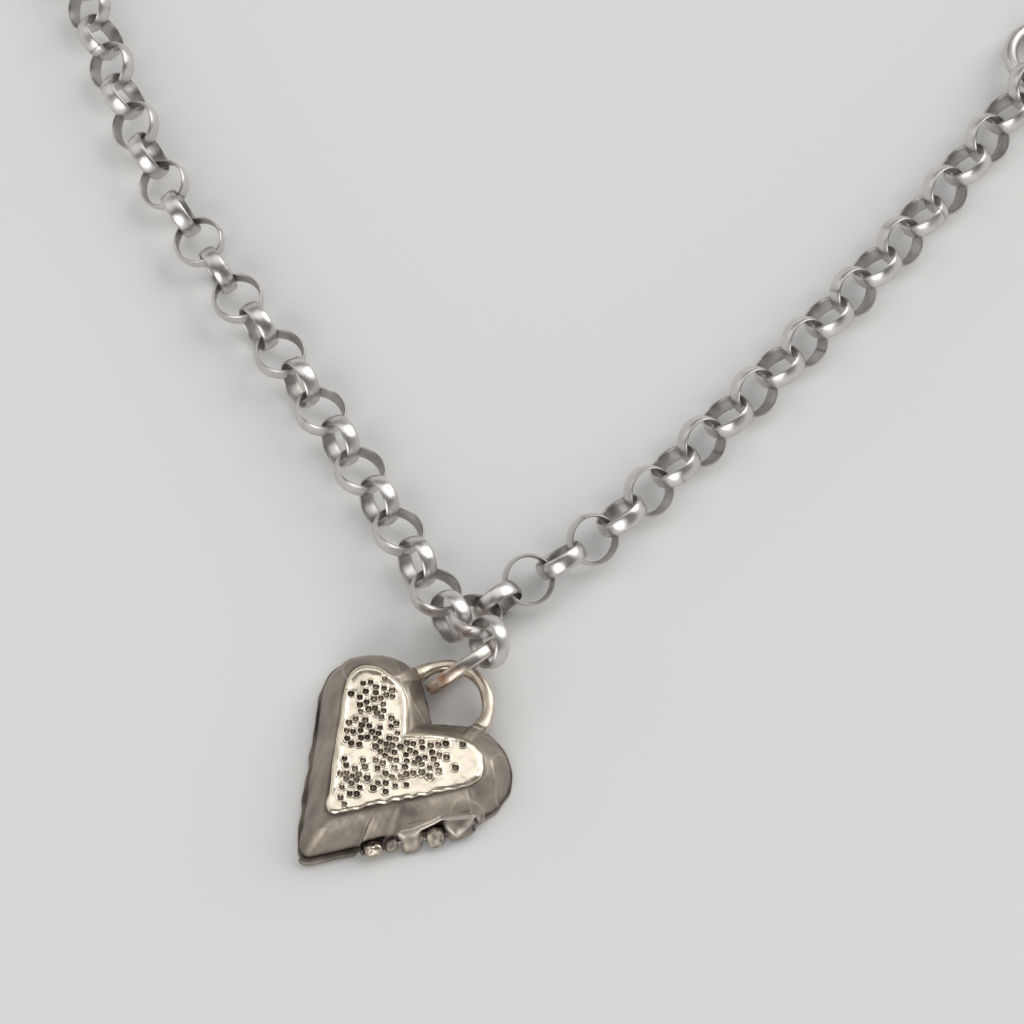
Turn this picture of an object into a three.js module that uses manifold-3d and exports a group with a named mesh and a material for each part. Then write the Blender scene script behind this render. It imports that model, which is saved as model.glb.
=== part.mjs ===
// Heart locket on a belcher chain: a hinged heart with a hanging loop, a jump ring, a drop link,
// two arms of interlocking D-section links and an open toggle at the far ends.
// Millimetres, +Z up. The origin is on the flat back of the heart, and +Y runs from its tip to its loop.
import * as THREE from 'three';
import { mergeVertices } from 'three/addons/utils/BufferGeometryUtils.js';
import Module from 'manifold-3d';

const wasm = await Module();
wasm.setup();

// Heart outline: two lobe circles, straight flanks and a rounded tip
const lobeRadius = 5.2;
const lobeSpread = 5.8; // lobe centres either side of the middle
const lobeCentreY = 4.2;
const notchRise = 2.2; // notch above the lobes' centre line
const tipDrop = 15.7; // tip circle's centre below the lobes' centre line
const tipRadius = 1.0;
const notchSlope = 1.44; // how fast the notch deepens as the outline is drawn in
const tipSteps = 3;
const lobeSteps = 11;

// Heart shells, by height above the back face
const plateThickness = 0.9;
const plateBevel = 0.25;
const seamGap = 0.1;
const coverTop = 4.85;
const coverWall = 0.7;
const coverRoof = 0.75;
const faceInset = 2.5; // from the rim to the edge of the raised face panel
// Cover wall and its cavity as pairs: share of faceInset inwards, share of the rise from rim to top
const wallProfile = [[0.15, 0.3], [0.34, 0.58], [0.57, 0.81], [0.82, 0.96]];
const cavityProfile = [[0.02, 0.22], [0.2, 0.42], [0.46, 0.69]];
const panelThickness = 0.3;
const panelCrown = 0.25;
const crownInset = 1.5; // from the panel's edge to the shoulder of its crown
const crownShoulder = 0.7; // share of the crown reached there
const panelBevel = 0.3;
const lipThickness = 0.5;
const lipHeight = 0.9;
const lipClearance = 0.15;
const frameClearance = 0.15;
const frameWidth = 1.1;
const frameHeight = 0.5;

// Hinge on the right flank
const hingeLength = 11.25;
const hingeKnuckles = 5;
const hingeStart = 5.1; // along the flank from the tip
const hingeOffset = 0.5; // axis outside the rim
const hingeHeight = 1.0;
const knuckleRadius = 0.85;
const knuckleGap = 0.12; // between neighbours along the axis
const knuckleRelief = 0.2; // between a knuckle and the other shell
const knuckleSides = 14;
const pinRadius = 0.3;
const pinClearance = 0.08;
const pinHeadRadius = 0.45;
const pinHead = 0.25; // thickness of each peened head

// Catch tongue inside the left flank
const catchLength = 3.2;
const catchThickness = 0.35;
const catchHeight = 1.5;
const catchGap = 0.08;

// Hanging loop soldered across the two lobes
const loopRadius = 4.3;
const loopWire = 0.6; // wire radius
const loopSink = 0.8; // start of the half ring inside the lobes' tops
const loopSeat = 0.4; // lip left under the loop's feet
const loopSlotGap = 0.2;
const loopSides = 8;
const loopSteps = 26;

// Rings and links, all with a flat bore and a domed outside
const linkRadius = 2.74;
const linkWall = 0.47;
const linkWidth = 1.8;
const linkEdge = 0.22; // band thickness at its edges
const linkBoreFlat = 0.7;
const linkBoreRelief = 0.2;
const linkSteps = 16;
const jumpRadius = 4.45;
const jumpWall = 0.68;
const jumpWidth = 1.4;
const jumpChamfer = 0.18;
const jumpSteps = 26;

// Chain layout on the surface
const linkHeight = 2.86; // link centres above the surface
const linkPitch = 3.97;
const leftLinks = 23;
const rightLinks = 22;
// Rings that crowd together where the arms meet: centre, then the direction of the ring's axis
const jumpPlace = [[-0.73, 12.26, 4.49], [-0.934, 0.189, 0.303]];
const junctionRings = {
  drop_link: [[-0.18, 15.31, 6.23], [-0.441, -0.759, 0.478]],
  center_ring: [[-3.45, 16.93, 4.8], [-0.179, 0.403, 0.897]],
  left_link_01: [[-5.67, 15.68, 3.52], [0.273, 0.884, -0.379]],
  right_link_01: [[-3.46, 20.19, 2.78], [0.98, -0.195, -0.05]],
};
const leftFirstPitch = 3.22;
const rightFirstPitch = 3.98;
// Centre lines of the two arms, from their first link to the toggle
const leftRoute = [
  junctionRings.left_link_01[0], [-8.6, 16.65, linkHeight + 0.3], [-19.8, 20.4, linkHeight],
  [-35.0, 24.9, linkHeight], [-50.5, 28.7, linkHeight], [-65.0, 33.5, linkHeight],
  [-84.0, 43.0, linkHeight], [-87.3, 44.72, linkHeight], [-97.0, 49.8, -1.0],
];
const rightRoute = [
  junctionRings.right_link_01[0], [-2.75, 24.1, linkHeight], [-0.9, 32.0, linkHeight],
  [0.1, 48.0, linkHeight], [0.5, 66.0, linkHeight], [0.1, 84.0, linkHeight],
  [-1.2, 100.0, linkHeight], [-1.55, 103.8, linkHeight], [-3.2, 118.0, -1.0],
];
// Roll of each arm in degrees, then the links between which it changes from one to the other
const leftRoll = [20, -46];
const leftRollLinks = [5, 23];
const rightRoll = [22, 50];
const rightRollLinks = [0, 9];
const routeSamples = 4000;

// Toggle at the far ends
const toggleRadius = 5.5;
const toggleWire = 0.8;
const toggleSteps = 18;
const barLength = 16.0;
const barRadius = 0.9;
const barNose = [[0.7, 0.15], [1, 0.7]]; // shares of the radius: outwards, then in from the end
const barEyeRadius = 3.2;
const barEyeWire = 0.4;
const toggleSides = 8;
const toggleSeat = 2.0; // overlap of the end link's mid wall with that of the toggle piece

const silver = { color: 0xcfc9c2, roughness: 0.22, metalness: 1.0 };
const satin = { color: 0xa79d92, roughness: 0.45, metalness: 1.0 };
const polished = { color: 0xe6ded2, roughness: 0.12, metalness: 1.0 };

const up = new THREE.Vector3(0, 0, 1);
const sideways = new THREE.Vector3(0, 1, 0); // axis of a lathe before it is turned into place
const part = new THREE.Group();

function addMesh(name, geometry, look) {
  const mesh = new THREE.Mesh(geometry, new THREE.MeshStandardMaterial(look));
  mesh.name = name;
  part.add(mesh);
  return mesh;
}

// Heart outline family: every ring of the heart is the same outline drawn in by an inset.
const centreGap = Math.hypot(lobeSpread, tipDrop);
const flankAngle = Math.asin((lobeRadius - tipRadius) / centreGap) + Math.atan2(lobeSpread, tipDrop);
const tipCentreY = lobeCentreY - tipDrop;
const flankAlong = new THREE.Vector3(Math.sin(flankAngle), Math.cos(flankAngle), 0);
const flankOut = new THREE.Vector3(Math.cos(flankAngle), -Math.sin(flankAngle), 0);
const flankTurn = new THREE.Quaternion().setFromUnitVectors(sideways, flankAlong);

function heartOutline(inset) {
  const radius = lobeRadius - inset;
  const tipY = tipCentreY + inset / Math.sin(flankAngle);
  const notchY = lobeCentreY + notchRise - inset * notchSlope;
  const toNotch = Math.hypot(lobeSpread, notchY - lobeCentreY);
  const notchAngle = Math.PI - Math.atan2(notchY - lobeCentreY, lobeSpread);
  const arcEnd = notchAngle - Math.acos(radius / toNotch);
  const half = [];
  for (let i = 1; i <= tipSteps; i += 1) {
    const angle = THREE.MathUtils.lerp(-Math.PI / 2, -flankAngle, i / tipSteps);
    half.push([tipRadius * Math.cos(angle), tipY + tipRadius * Math.sin(angle)]);
  }
  for (let i = 0; i <= lobeSteps; i += 1) {
    const angle = THREE.MathUtils.lerp(-flankAngle, arcEnd, i / lobeSteps);
    half.push([lobeSpread + radius * Math.cos(angle), lobeCentreY + radius * Math.sin(angle)]);
  }
  const mirrored = half.map(([x, y]) => [-x, y]).reverse();
  return [[0, tipY - tipRadius], ...half, [0, notchY], ...mirrored];
}

// Loft through heart rings [inset, z]. With caps the surface starts and ends at a centre point of
// those heights; without them the last ring joins the first.
function heartLoft(rings, caps) {
  const positions = [];
  const indices = [];
  rings.forEach(([inset, z]) => heartOutline(inset).forEach(([x, y]) => positions.push(x, y, z)));
  const count = positions.length / 3 / rings.length;
  const bands = caps ? rings.length - 1 : rings.length;
  for (let band = 0; band < bands; band += 1) {
    const low = band * count;
    const high = ((band + 1) % rings.length) * count;
    for (let i = 0; i < count; i += 1) {
      const next = (i + 1) % count;
      indices.push(low + i, low + next, high + next, low + i, high + next, high + i);
    }
  }
  if (caps) {
    const first = positions.length / 3;
    const lastRing = (rings.length - 1) * count;
    positions.push(0, 0, caps[0], 0, 0, caps[1]);
    for (let i = 0; i < count; i += 1) {
      const next = (i + 1) % count;
      indices.push(first, next, i, first + 1, lastRing + i, lastRing + next);
    }
  }
  const geometry = new THREE.BufferGeometry();
  geometry.setAttribute('position', new THREE.Float32BufferAttribute(positions, 3));
  geometry.setIndex(indices);
  return geometry;
}

// Booleans on closed meshes
function toSolid(geometry) {
  const bare = geometry.clone();
  bare.deleteAttribute('normal');
  bare.deleteAttribute('uv');
  const merged = mergeVertices(bare, 1e-4);
  const vertProperties = Float32Array.from(merged.attributes.position.array);
  const triVerts = Uint32Array.from(merged.index.array);
  return new wasm.Manifold(new wasm.Mesh({ numProp: 3, vertProperties, triVerts }));
}

function fromSolid(solid) {
  const mesh = solid.getMesh();
  const geometry = new THREE.BufferGeometry();
  geometry.setAttribute('position', new THREE.Float32BufferAttribute(mesh.vertProperties, 3));
  geometry.setIndex(Array.from(mesh.triVerts));
  return geometry;
}

// Hinge stations: a cylinder round the hinge axis between two distances along the flank
const hingeOrigin = new THREE.Vector3(0, tipCentreY, hingeHeight)
  .addScaledVector(flankOut, tipRadius + hingeOffset);

function hingeCylinder(radius, from, to) {
  const geometry = new THREE.CylinderGeometry(radius, radius, to - from, knuckleSides);
  geometry.applyQuaternion(flankTurn);
  const middle = hingeOrigin.clone().addScaledVector(flankAlong, (from + to) / 2);
  return geometry.translate(middle.x, middle.y, middle.z);
}

const knuckleStep = hingeLength / hingeKnuckles;

function knuckleSpan(index, extra) {
  const from = hingeStart + index * knuckleStep;
  return [from + knuckleGap / 2 - extra, from + knuckleStep - knuckleGap / 2 + extra];
}

// Adds this shell's own knuckles, frees the other shell's and drills the pin bore.
function withKnuckles(solid, ownParity) {
  let result = solid;
  for (let index = 0; index < hingeKnuckles; index += 1) {
    if (index % 2 !== ownParity) {
      const relief = hingeCylinder(knuckleRadius + knuckleRelief, ...knuckleSpan(index, knuckleGap));
      result = result.subtract(toSolid(relief));
    }
  }
  for (let index = ownParity; index < hingeKnuckles; index += 2) {
    result = result.add(toSolid(hingeCylinder(knuckleRadius, ...knuckleSpan(index, 0))));
  }
  const boreStart = hingeStart - knuckleStep;
  const boreEnd = hingeStart + hingeLength + knuckleStep;
  return result.subtract(toSolid(hingeCylinder(pinRadius + pinClearance, boreStart, boreEnd)));
}

// Rings of the heart that stand inside one another, by inset from the rim
const lipOuter = coverWall + lipClearance;
const lipInner = lipOuter + lipThickness;
const frameOuter = lipInner + catchGap + catchThickness + frameClearance;
const coverBase = plateThickness + seamGap;
const lipTop = plateThickness + lipHeight;

// Hanging loop: a half ring of wire with two straight feet lying in the back plate's lip
const loopHeight = plateThickness + loopSeat + loopWire;
const loopCentreY = lobeCentreY + lobeRadius - loopSink;
const loopFoot = frameOuter - frameClearance - loopSink;

class LoopCurve extends THREE.Curve {
  getPoint(share, target = new THREE.Vector3()) {
    const arc = Math.PI * loopRadius;
    const along = share * (arc + 2 * loopFoot);
    const foot = Math.max(loopFoot - along, along - loopFoot - arc, 0);
    const angle = Math.PI - THREE.MathUtils.clamp((along - loopFoot) / loopRadius, 0, Math.PI);
    const y = loopCentreY + loopRadius * Math.sin(angle) - foot;
    return target.set(loopRadius * Math.cos(angle), y, loopHeight);
  }
}

function loopSlot(side, bottom) {
  const reach = lobeRadius;
  const width = 2 * (loopWire + loopSlotGap);
  const height = loopHeight + loopWire + loopSlotGap - bottom;
  const slot = new THREE.BoxGeometry(width, reach, height);
  const y = loopCentreY - loopFoot - loopSlotGap + reach / 2;
  return toSolid(slot.translate(side * loopRadius, y, bottom + height / 2));
}

function withLoopSlots(solid, bottom) {
  return solid.subtract(loopSlot(-1, bottom)).subtract(loopSlot(1, bottom));
}

function buildHangingLoop() {
  const section = new THREE.Shape();
  const corner = loopWire / Math.cos(Math.PI / loopSides);
  for (let i = 0; i < loopSides; i += 1) {
    const angle = ((i + 0.5) / loopSides) * 2 * Math.PI;
    const point = [corner * Math.cos(angle), corner * Math.sin(angle)];
    if (i === 0) section.moveTo(...point);
    else section.lineTo(...point);
  }
  const geometry = new THREE.ExtrudeGeometry(section, {
    steps: loopSteps,
    bevelEnabled: false,
    extrudePath: new LoopCurve(),
  });
  addMesh('hanging_loop', geometry, polished);
}

// Heart shells and what they hold
function buildBackPlate() {
  const plate = heartLoft([
    [plateBevel, 0], [0, plateBevel], [0, plateThickness],
    [lipOuter, plateThickness], [lipOuter, lipTop], [lipInner, lipTop], [lipInner, plateThickness],
  ], [0, plateThickness]);
  const lipSlots = withLoopSlots(toSolid(plate), plateThickness + loopSeat);
  addMesh('back_plate', fromSolid(withKnuckles(lipSlots, 0)), satin);
}

function buildFrontCover() {
  const ceiling = coverTop - coverRoof;
  const outside = wallProfile.map(([inwards, height]) => (
    [inwards * faceInset, THREE.MathUtils.lerp(coverBase, coverTop, height)]));
  const inside = cavityProfile.map(([inwards, height]) => (
    [coverWall + inwards * faceInset, THREE.MathUtils.lerp(coverBase, coverTop, height)]));
  const cover = heartLoft([
    [faceInset, ceiling], ...inside.reverse(), [coverWall, coverBase],
    [0, coverBase], ...outside, [faceInset, coverTop],
  ], [ceiling, coverTop]);
  addMesh('front_cover', fromSolid(withKnuckles(withLoopSlots(toSolid(cover), plateThickness), 1)), satin);
}

function buildFacePanel() {
  const edgeTop = coverTop + panelThickness;
  const panel = heartLoft([
    [faceInset, coverTop], [faceInset, edgeTop - panelBevel / 2], [faceInset + panelBevel, edgeTop],
    [faceInset + crownInset, edgeTop + crownShoulder * panelCrown],
  ], [coverTop, edgeTop + panelCrown]);
  addMesh('face_panel', panel, polished);
}

function buildHingePin() {
  const half = hingeLength / 2 + pinHead;
  const neck = half - pinHead;
  const profile = [
    [0, -half], [pinHeadRadius, -half], [pinHeadRadius, -neck], [pinRadius, -neck],
    [pinRadius, neck], [pinHeadRadius, neck], [pinHeadRadius, half], [0, half],
  ].map(([radius, along]) => new THREE.Vector2(radius, along));
  const pin = new THREE.LatheGeometry(profile, knuckleSides);
  pin.applyQuaternion(flankTurn);
  const mesh = addMesh('hinge_pin', pin, silver);
  mesh.position.copy(hingeOrigin).addScaledVector(flankAlong, hingeStart + hingeLength / 2);
}

function buildRetainingFrame() {
  const inner = frameOuter + frameWidth;
  const top = plateThickness + frameHeight;
  const frame = heartLoft([
    [frameOuter, plateThickness], [frameOuter, top], [inner, top], [inner, plateThickness],
  ]);
  addMesh('retaining_frame', frame, silver);
}

// The tongue stands on the plate just inside the lip, half way along the left flank.
function buildCatchTongue() {
  const geometry = new THREE.BoxGeometry(catchThickness, catchLength, catchHeight);
  const mesh = addMesh('catch_tongue', geometry, silver);
  const inset = lipInner + catchGap + catchThickness / 2;
  const along = hingeStart + hingeLength / 2;
  const out = tipRadius - inset;
  const x = -(flankAlong.x * along + flankOut.x * out);
  const y = tipCentreY + flankAlong.y * along + flankOut.y * out;
  mesh.position.set(x, y, plateThickness + catchHeight / 2);
  mesh.rotation.z = flankAngle;
}

// Rings: a closed section turned round the ring's own axis
function ringGeometry(section, steps) {
  const profile = section.map(([radius, along]) => new THREE.Vector2(radius, along));
  profile.push(profile[0].clone());
  return new THREE.LatheGeometry(profile, steps);
}

const linkBore = linkRadius - linkWall;
const linkMid = linkRadius - linkWall / 2;
const linkSection = [
  [linkBore, linkBoreFlat / 2], [linkBore, -linkBoreFlat / 2],
  [linkBore + linkBoreRelief, -linkWidth / 2], [linkBore + linkBoreRelief + linkEdge, -linkWidth / 2],
  [linkRadius, 0],
  [linkBore + linkBoreRelief + linkEdge, linkWidth / 2], [linkBore + linkBoreRelief, linkWidth / 2],
];
const jumpBore = jumpRadius - jumpWall;
const jumpSection = [
  [jumpBore, jumpWidth / 2 - jumpChamfer], [jumpBore, -jumpWidth / 2 + jumpChamfer],
  [jumpBore + jumpChamfer, -jumpWidth / 2], [jumpRadius - jumpChamfer, -jumpWidth / 2],
  [jumpRadius, -jumpWidth / 2 + jumpChamfer], [jumpRadius, jumpWidth / 2 - jumpChamfer],
  [jumpRadius - jumpChamfer, jumpWidth / 2], [jumpBore + jumpChamfer, jumpWidth / 2],
];

// The ring's own axis follows axis, and one of its corners points along the chain.
function addRing(name, geometry, centre, axis, along, look) {
  const mesh = addMesh(name, geometry, look);
  mesh.position.copy(centre);
  const normal = axis.clone().normalize();
  const corner = along.clone().addScaledVector(normal, -along.dot(normal)).normalize();
  const side = corner.clone().cross(normal);
  mesh.quaternion.setFromRotationMatrix(new THREE.Matrix4().makeBasis(corner, normal, side));
}

// Steps along a route in straight chords of the given lengths.
function walkRoute(route, chords) {
  const curve = new THREE.CatmullRomCurve3(route.map((point) => new THREE.Vector3(...point)));
  const samples = curve.getSpacedPoints(routeSamples);
  const stops = [samples[0]];
  let cursor = 0;
  chords.forEach((chord) => {
    const here = stops.at(-1);
    while (cursor < samples.length - 1 && samples[cursor].distanceTo(here) < chord) cursor += 1;
    stops.push(samples[cursor]);
  });
  return stops;
}

function rolledAxis(along, degrees) {
  const upright = up.clone().addScaledVector(along, -up.dot(along)).normalize();
  return upright.applyAxisAngle(along, THREE.MathUtils.degToRad(degrees));
}

function rollAt(index, roll, links) {
  return THREE.MathUtils.lerp(...roll, THREE.MathUtils.smoothstep(index, ...links));
}

// Alternate links stand square to each other. The stops begin at the arm's first link, which is a
// junction ring.
function buildArm(prefix, stops, count, roll) {
  for (let index = 2; index <= count; index += 1) {
    const along = stops[index].clone().sub(stops[index - 2]).normalize();
    const axis = rolledAxis(along, roll(index) + (index % 2 ? 90 : 0));
    const name = `${prefix}_link_${String(index).padStart(2, '0')}`;
    addRing(name, ringGeometry(linkSection, linkSteps), stops[index - 1], axis, along, silver);
  }
}

function circleSection(centre, radius) {
  const section = [];
  for (let i = 0; i < toggleSides; i += 1) {
    const angle = (i / toggleSides) * 2 * Math.PI;
    section.push([centre + radius * Math.cos(angle), radius * Math.sin(angle)]);
  }
  return section;
}

const toggleMid = toggleRadius - toggleWire;
const barEyeMid = barEyeRadius - barEyeWire;

function armChords(links, firstPitch, endMid) {
  return [firstPitch, ...Array(links - 2).fill(linkPitch), linkMid + endMid - toggleSeat];
}

function buildLeftArm() {
  const stops = walkRoute(leftRoute, armChords(leftLinks, leftFirstPitch, barEyeMid));
  buildArm('left', stops, leftLinks, (index) => rollAt(index, leftRoll, leftRollLinks));
  buildToggleBar(stops.at(-2), stops.at(-1));
}

function buildRightArm() {
  const stops = walkRoute(rightRoute, armChords(rightLinks, rightFirstPitch, toggleMid));
  buildArm('right', stops, rightLinks, (index) => rollAt(index, rightRoll, rightRollLinks));
  const along = stops.at(-1).clone().sub(stops.at(-2)).normalize();
  const ring = ringGeometry(circleSection(toggleMid, toggleWire), toggleSteps);
  addRing('toggle_ring', ring, stops.at(-1), rolledAxis(along, 0), along, silver);
}

// The bar lies across the end of the chain, fused to its eye.
function buildToggleBar(before, centre) {
  const along = centre.clone().sub(before).normalize();
  const axis = rolledAxis(along, 0);
  const eye = ringGeometry(circleSection(barEyeMid, barEyeWire), toggleSteps);
  eye.applyQuaternion(new THREE.Quaternion().setFromUnitVectors(sideways, up));
  const half = barLength / 2;
  const nose = barNose.map(([outwards, back]) => [outwards * barRadius, half - back * barRadius]);
  const tail = nose.map(([radius, offset]) => [radius, -offset]);
  const profile = [[0, -half], ...tail, ...nose.reverse(), [0, half]]
    .map(([radius, offset]) => new THREE.Vector2(radius, offset));
  const bar = new THREE.LatheGeometry(profile, 2 * toggleSides);
  bar.translate(barEyeMid + barRadius, 0, 0);
  const mesh = addMesh('toggle_bar', fromSolid(toSolid(eye).add(toSolid(bar))), silver);
  mesh.position.copy(centre);
  const across = axis.clone().cross(along);
  mesh.quaternion.setFromRotationMatrix(new THREE.Matrix4().makeBasis(along, across, axis));
}

buildBackPlate();
buildFrontCover();
buildFacePanel();
buildHingePin();
buildRetainingFrame();
buildCatchTongue();
buildHangingLoop();
const [jumpCentre, jumpAxis] = jumpPlace.map((place) => new THREE.Vector3(...place));
addRing('jump_ring', ringGeometry(jumpSection, jumpSteps), jumpCentre, jumpAxis, up, satin);
Object.entries(junctionRings).forEach(([name, [centre, axis]]) => {
  const ring = ringGeometry(linkSection, linkSteps);
  addRing(name, ring, new THREE.Vector3(...centre), new THREE.Vector3(...axis), flankAlong, silver);
});
buildLeftArm();
buildRightArm();

export default part;
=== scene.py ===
import math

import bmesh
import bpy
import numpy as np
from mathutils import Matrix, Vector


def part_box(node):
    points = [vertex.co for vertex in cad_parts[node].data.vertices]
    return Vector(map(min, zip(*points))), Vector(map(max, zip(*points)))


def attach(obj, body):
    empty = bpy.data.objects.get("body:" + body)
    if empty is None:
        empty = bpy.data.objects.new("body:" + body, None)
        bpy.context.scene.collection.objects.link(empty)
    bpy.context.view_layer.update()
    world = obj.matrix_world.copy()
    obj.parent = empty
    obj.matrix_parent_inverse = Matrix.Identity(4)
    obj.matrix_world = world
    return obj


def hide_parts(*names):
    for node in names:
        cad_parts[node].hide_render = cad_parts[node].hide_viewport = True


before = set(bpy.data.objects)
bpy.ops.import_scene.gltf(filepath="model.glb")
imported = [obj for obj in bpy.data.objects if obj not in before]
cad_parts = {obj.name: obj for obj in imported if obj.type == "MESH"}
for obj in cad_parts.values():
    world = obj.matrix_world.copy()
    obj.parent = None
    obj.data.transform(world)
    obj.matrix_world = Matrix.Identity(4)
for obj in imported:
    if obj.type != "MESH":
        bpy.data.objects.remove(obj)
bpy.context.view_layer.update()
print("frame:", len(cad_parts), "nodes")

scene = bpy.context.scene
mm = 0.001  # shapes are worked out in millimetres
tau = 2 * math.pi
upward = np.array([0, 0, 1.0])


def unit(v):
    # the same direction, one long
    return v / np.linalg.norm(v)


def bell(x, middle, width):
    # 1 at the middle, about a third one width away
    return np.exp(-((x - middle) / width) ** 2)


def ramp(x, low, high):
    # smooth step from 0 at low to 1 at high
    t = np.clip((x - low) / (high - low), 0, 1)
    return t * t * (3 - 2 * t)


def stretch(x, rise, fall):
    # 1 along a stretch: a smooth step up between one pair of places, times a step down between another
    return ramp(x, *rise) * ramp(x, *fall)


def squareArch(x):
    # 1 in the middle and 0 at -1 and 1: the root of 1 - x to the fourth
    return np.sqrt(np.clip(1 - x ** 4, 0, 1))


def nose(x):
    # quarter circle that rises from 0 at 0 to 1 at 1
    return np.sqrt(np.clip(1 - (1 - np.clip(x, 0, 1)) ** 2, 0, 1))


def boxy(x, power):
    # x to a power with its sign kept: powers under 1 turn a circle into a rounded box
    return np.sign(x) * np.abs(x) ** power


def roundTurn(count):
    # angles of evenly spaced points on a full turn
    return np.linspace(0, tau, count, endpoint=False)


def turnFrom(turn, start):
    # angle from a start, between half a turn back and half a turn on
    return (turn - start + math.pi) % tau - math.pi


def ripple(points, wave, seed):
    # soft dents: twelve plane waves of one length in random directions, summed to about -1 to 1
    rng = np.random.default_rng(seed)
    ways = rng.normal(size=(3, 12))
    ways *= tau / wave / np.linalg.norm(ways, axis=0)
    return np.sin(points @ ways + rng.uniform(0, tau, 12)).sum(-1) / 5


def hollows(points, wave, seed):
    # only the low side of a ripple, as 0 to 1
    return np.clip(-ripple(points, wave, seed), 0, 1)


def gridFaces(rows, cols, wrapRows):
    # quads between neighbouring rows and columns of a point grid whose columns wrap round
    r = np.arange(rows if wrapRows else rows - 1)[:, None]
    c = np.arange(cols)[None, :]
    r2, c2 = (r + 1) % rows, (c + 1) % cols
    corners = [r * cols + c, r2 * cols + c, r2 * cols + c2, r * cols + c2]
    return np.stack(np.broadcast_arrays(*corners), -1).reshape(-1, 4)


def gridNormals(points):
    # across the columns times along the rows, both by differences
    along = np.gradient(points, axis=0)
    across = np.roll(points, -1, 1) - np.roll(points, 1, 1)
    normal = np.cross(across, along)
    return normal / np.maximum(np.linalg.norm(normal, axis=-1, keepdims=True), 1e-9)


def addObject(name, data):
    # a mesh, lamp or camera, put into the scene
    obj = bpy.data.objects.new(name, data)
    scene.collection.objects.link(obj)
    return obj


def addPiece(name, points, finish, body, stands=(), closed=False, grimeAndShade=None, tint=None):
    # points is a grid whose columns wrap round; closed rows wrap too, open ones end in poles
    rows, cols = points.shape[:2]
    faces = gridFaces(rows, cols, closed)
    flat = points.reshape(-1, 3)
    a, b, c, d = (flat[faces[:, k]] for k in range(4))
    volume = np.sum(a * np.cross(b, c)) + np.sum(a * np.cross(c, d))
    if volume < 0:
        faces = faces[:, ::-1]
    mesh = bpy.data.meshes.new(name)
    mesh.from_pydata(flat * mm, [], faces.tolist())
    for mark, values in (("grimeAndShade", grimeAndShade), ("tint", tint)):
        if values is not None:
            layer = mesh.attributes.new(mark, "FLOAT", "POINT")
            layer.data.foreach_set("value", np.broadcast_to(values, (rows, cols)).astype(np.float32).ravel())
    if not closed:
        work = bmesh.new()
        work.from_mesh(mesh)
        poles = [v for v in work.verts if v.index < cols or v.index >= (rows - 1) * cols]
        bmesh.ops.remove_doubles(work, verts=poles, dist=1e-7)
        work.to_mesh(mesh)
        work.free()
    mesh.polygons.foreach_set("use_smooth", np.ones(len(mesh.polygons), bool))
    mesh.materials.append(silver[finish])
    obj = addObject(name, mesh)
    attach(obj, body)
    if stands:
        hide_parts(*stands)


def setInputs(node, values):
    # a number or colour for each named input of a shader node
    for name, value in values.items():
        node.inputs[name].default_value = value


# Silver finishes: bright colour to dark by the grime-and-shade mark, real grime plus painted shade, and a
# cloud of noise;
# tint is a second colour where the tint mark is set, rough a range, and grain and brush are heights of bumps
# in metres
finishes = {
    "brightLink": {"bright": (0.74, 0.71, 0.68), "dark": (0.13, 0.115, 0.10), "rough": (0.25, 0.37),
                   "cloud": 0.16, "cloudScale": 420, "grain": 9e-6, "grainScale": 2300, "brush": 6e-6},
    # the heart's tint colour is a painted reflection on the notch side of the left lobe, and lightens the
    # vein, creases, folds and knuckle crests
    "satinHeart": {"bright": (0.48, 0.42, 0.355), "dark": (0.07, 0.058, 0.049), "rough": (0.40, 0.54),
                   "cloud": 0.34, "cloudScale": 260, "grain": 18e-6, "grainScale": 2100, "brush": 10e-6,
                   "tint": (0.84, 0.77, 0.68)},
    "polishedFace": {"bright": (0.96, 0.86, 0.70), "dark": (0.115, 0.095, 0.08), "rough": (0.17, 0.34),
                     "cloud": 0.14, "cloudScale": 380, "grain": 16e-6, "grainScale": 1900, "brush": 5e-6},
    "wireLoop": {"bright": (0.84, 0.75, 0.62), "dark": (0.13, 0.105, 0.085), "rough": (0.22, 0.36),
                 "cloud": 0.24, "cloudScale": 420, "grain": 12e-6, "grainScale": 2300, "brush": 8e-6},
}
# the jump band's tint colour is a coppery painted shade
finishes["jumpBand"] = {**finishes["wireLoop"], "tint": (0.36, 0.15, 0.075), "bright": (0.72, 0.68, 0.62)}

# What all finishes share: how noise is turned, stretched and spread, and how far it sways the marks
sharedSettings = {"noiseTurn": (0.3, 0.2, 0.6), "noiseRange": (0.32, 0.68), "even": (1, 1, 1),
         "brushed": (0.12, 2.4, 1.5), "grimeAndShadeSway": (0.75, 1.15), "tintSway": (0.6, 1.1), "patchScale": 2.3,
         "grimeAndShadeRough": 0.18}


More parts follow.
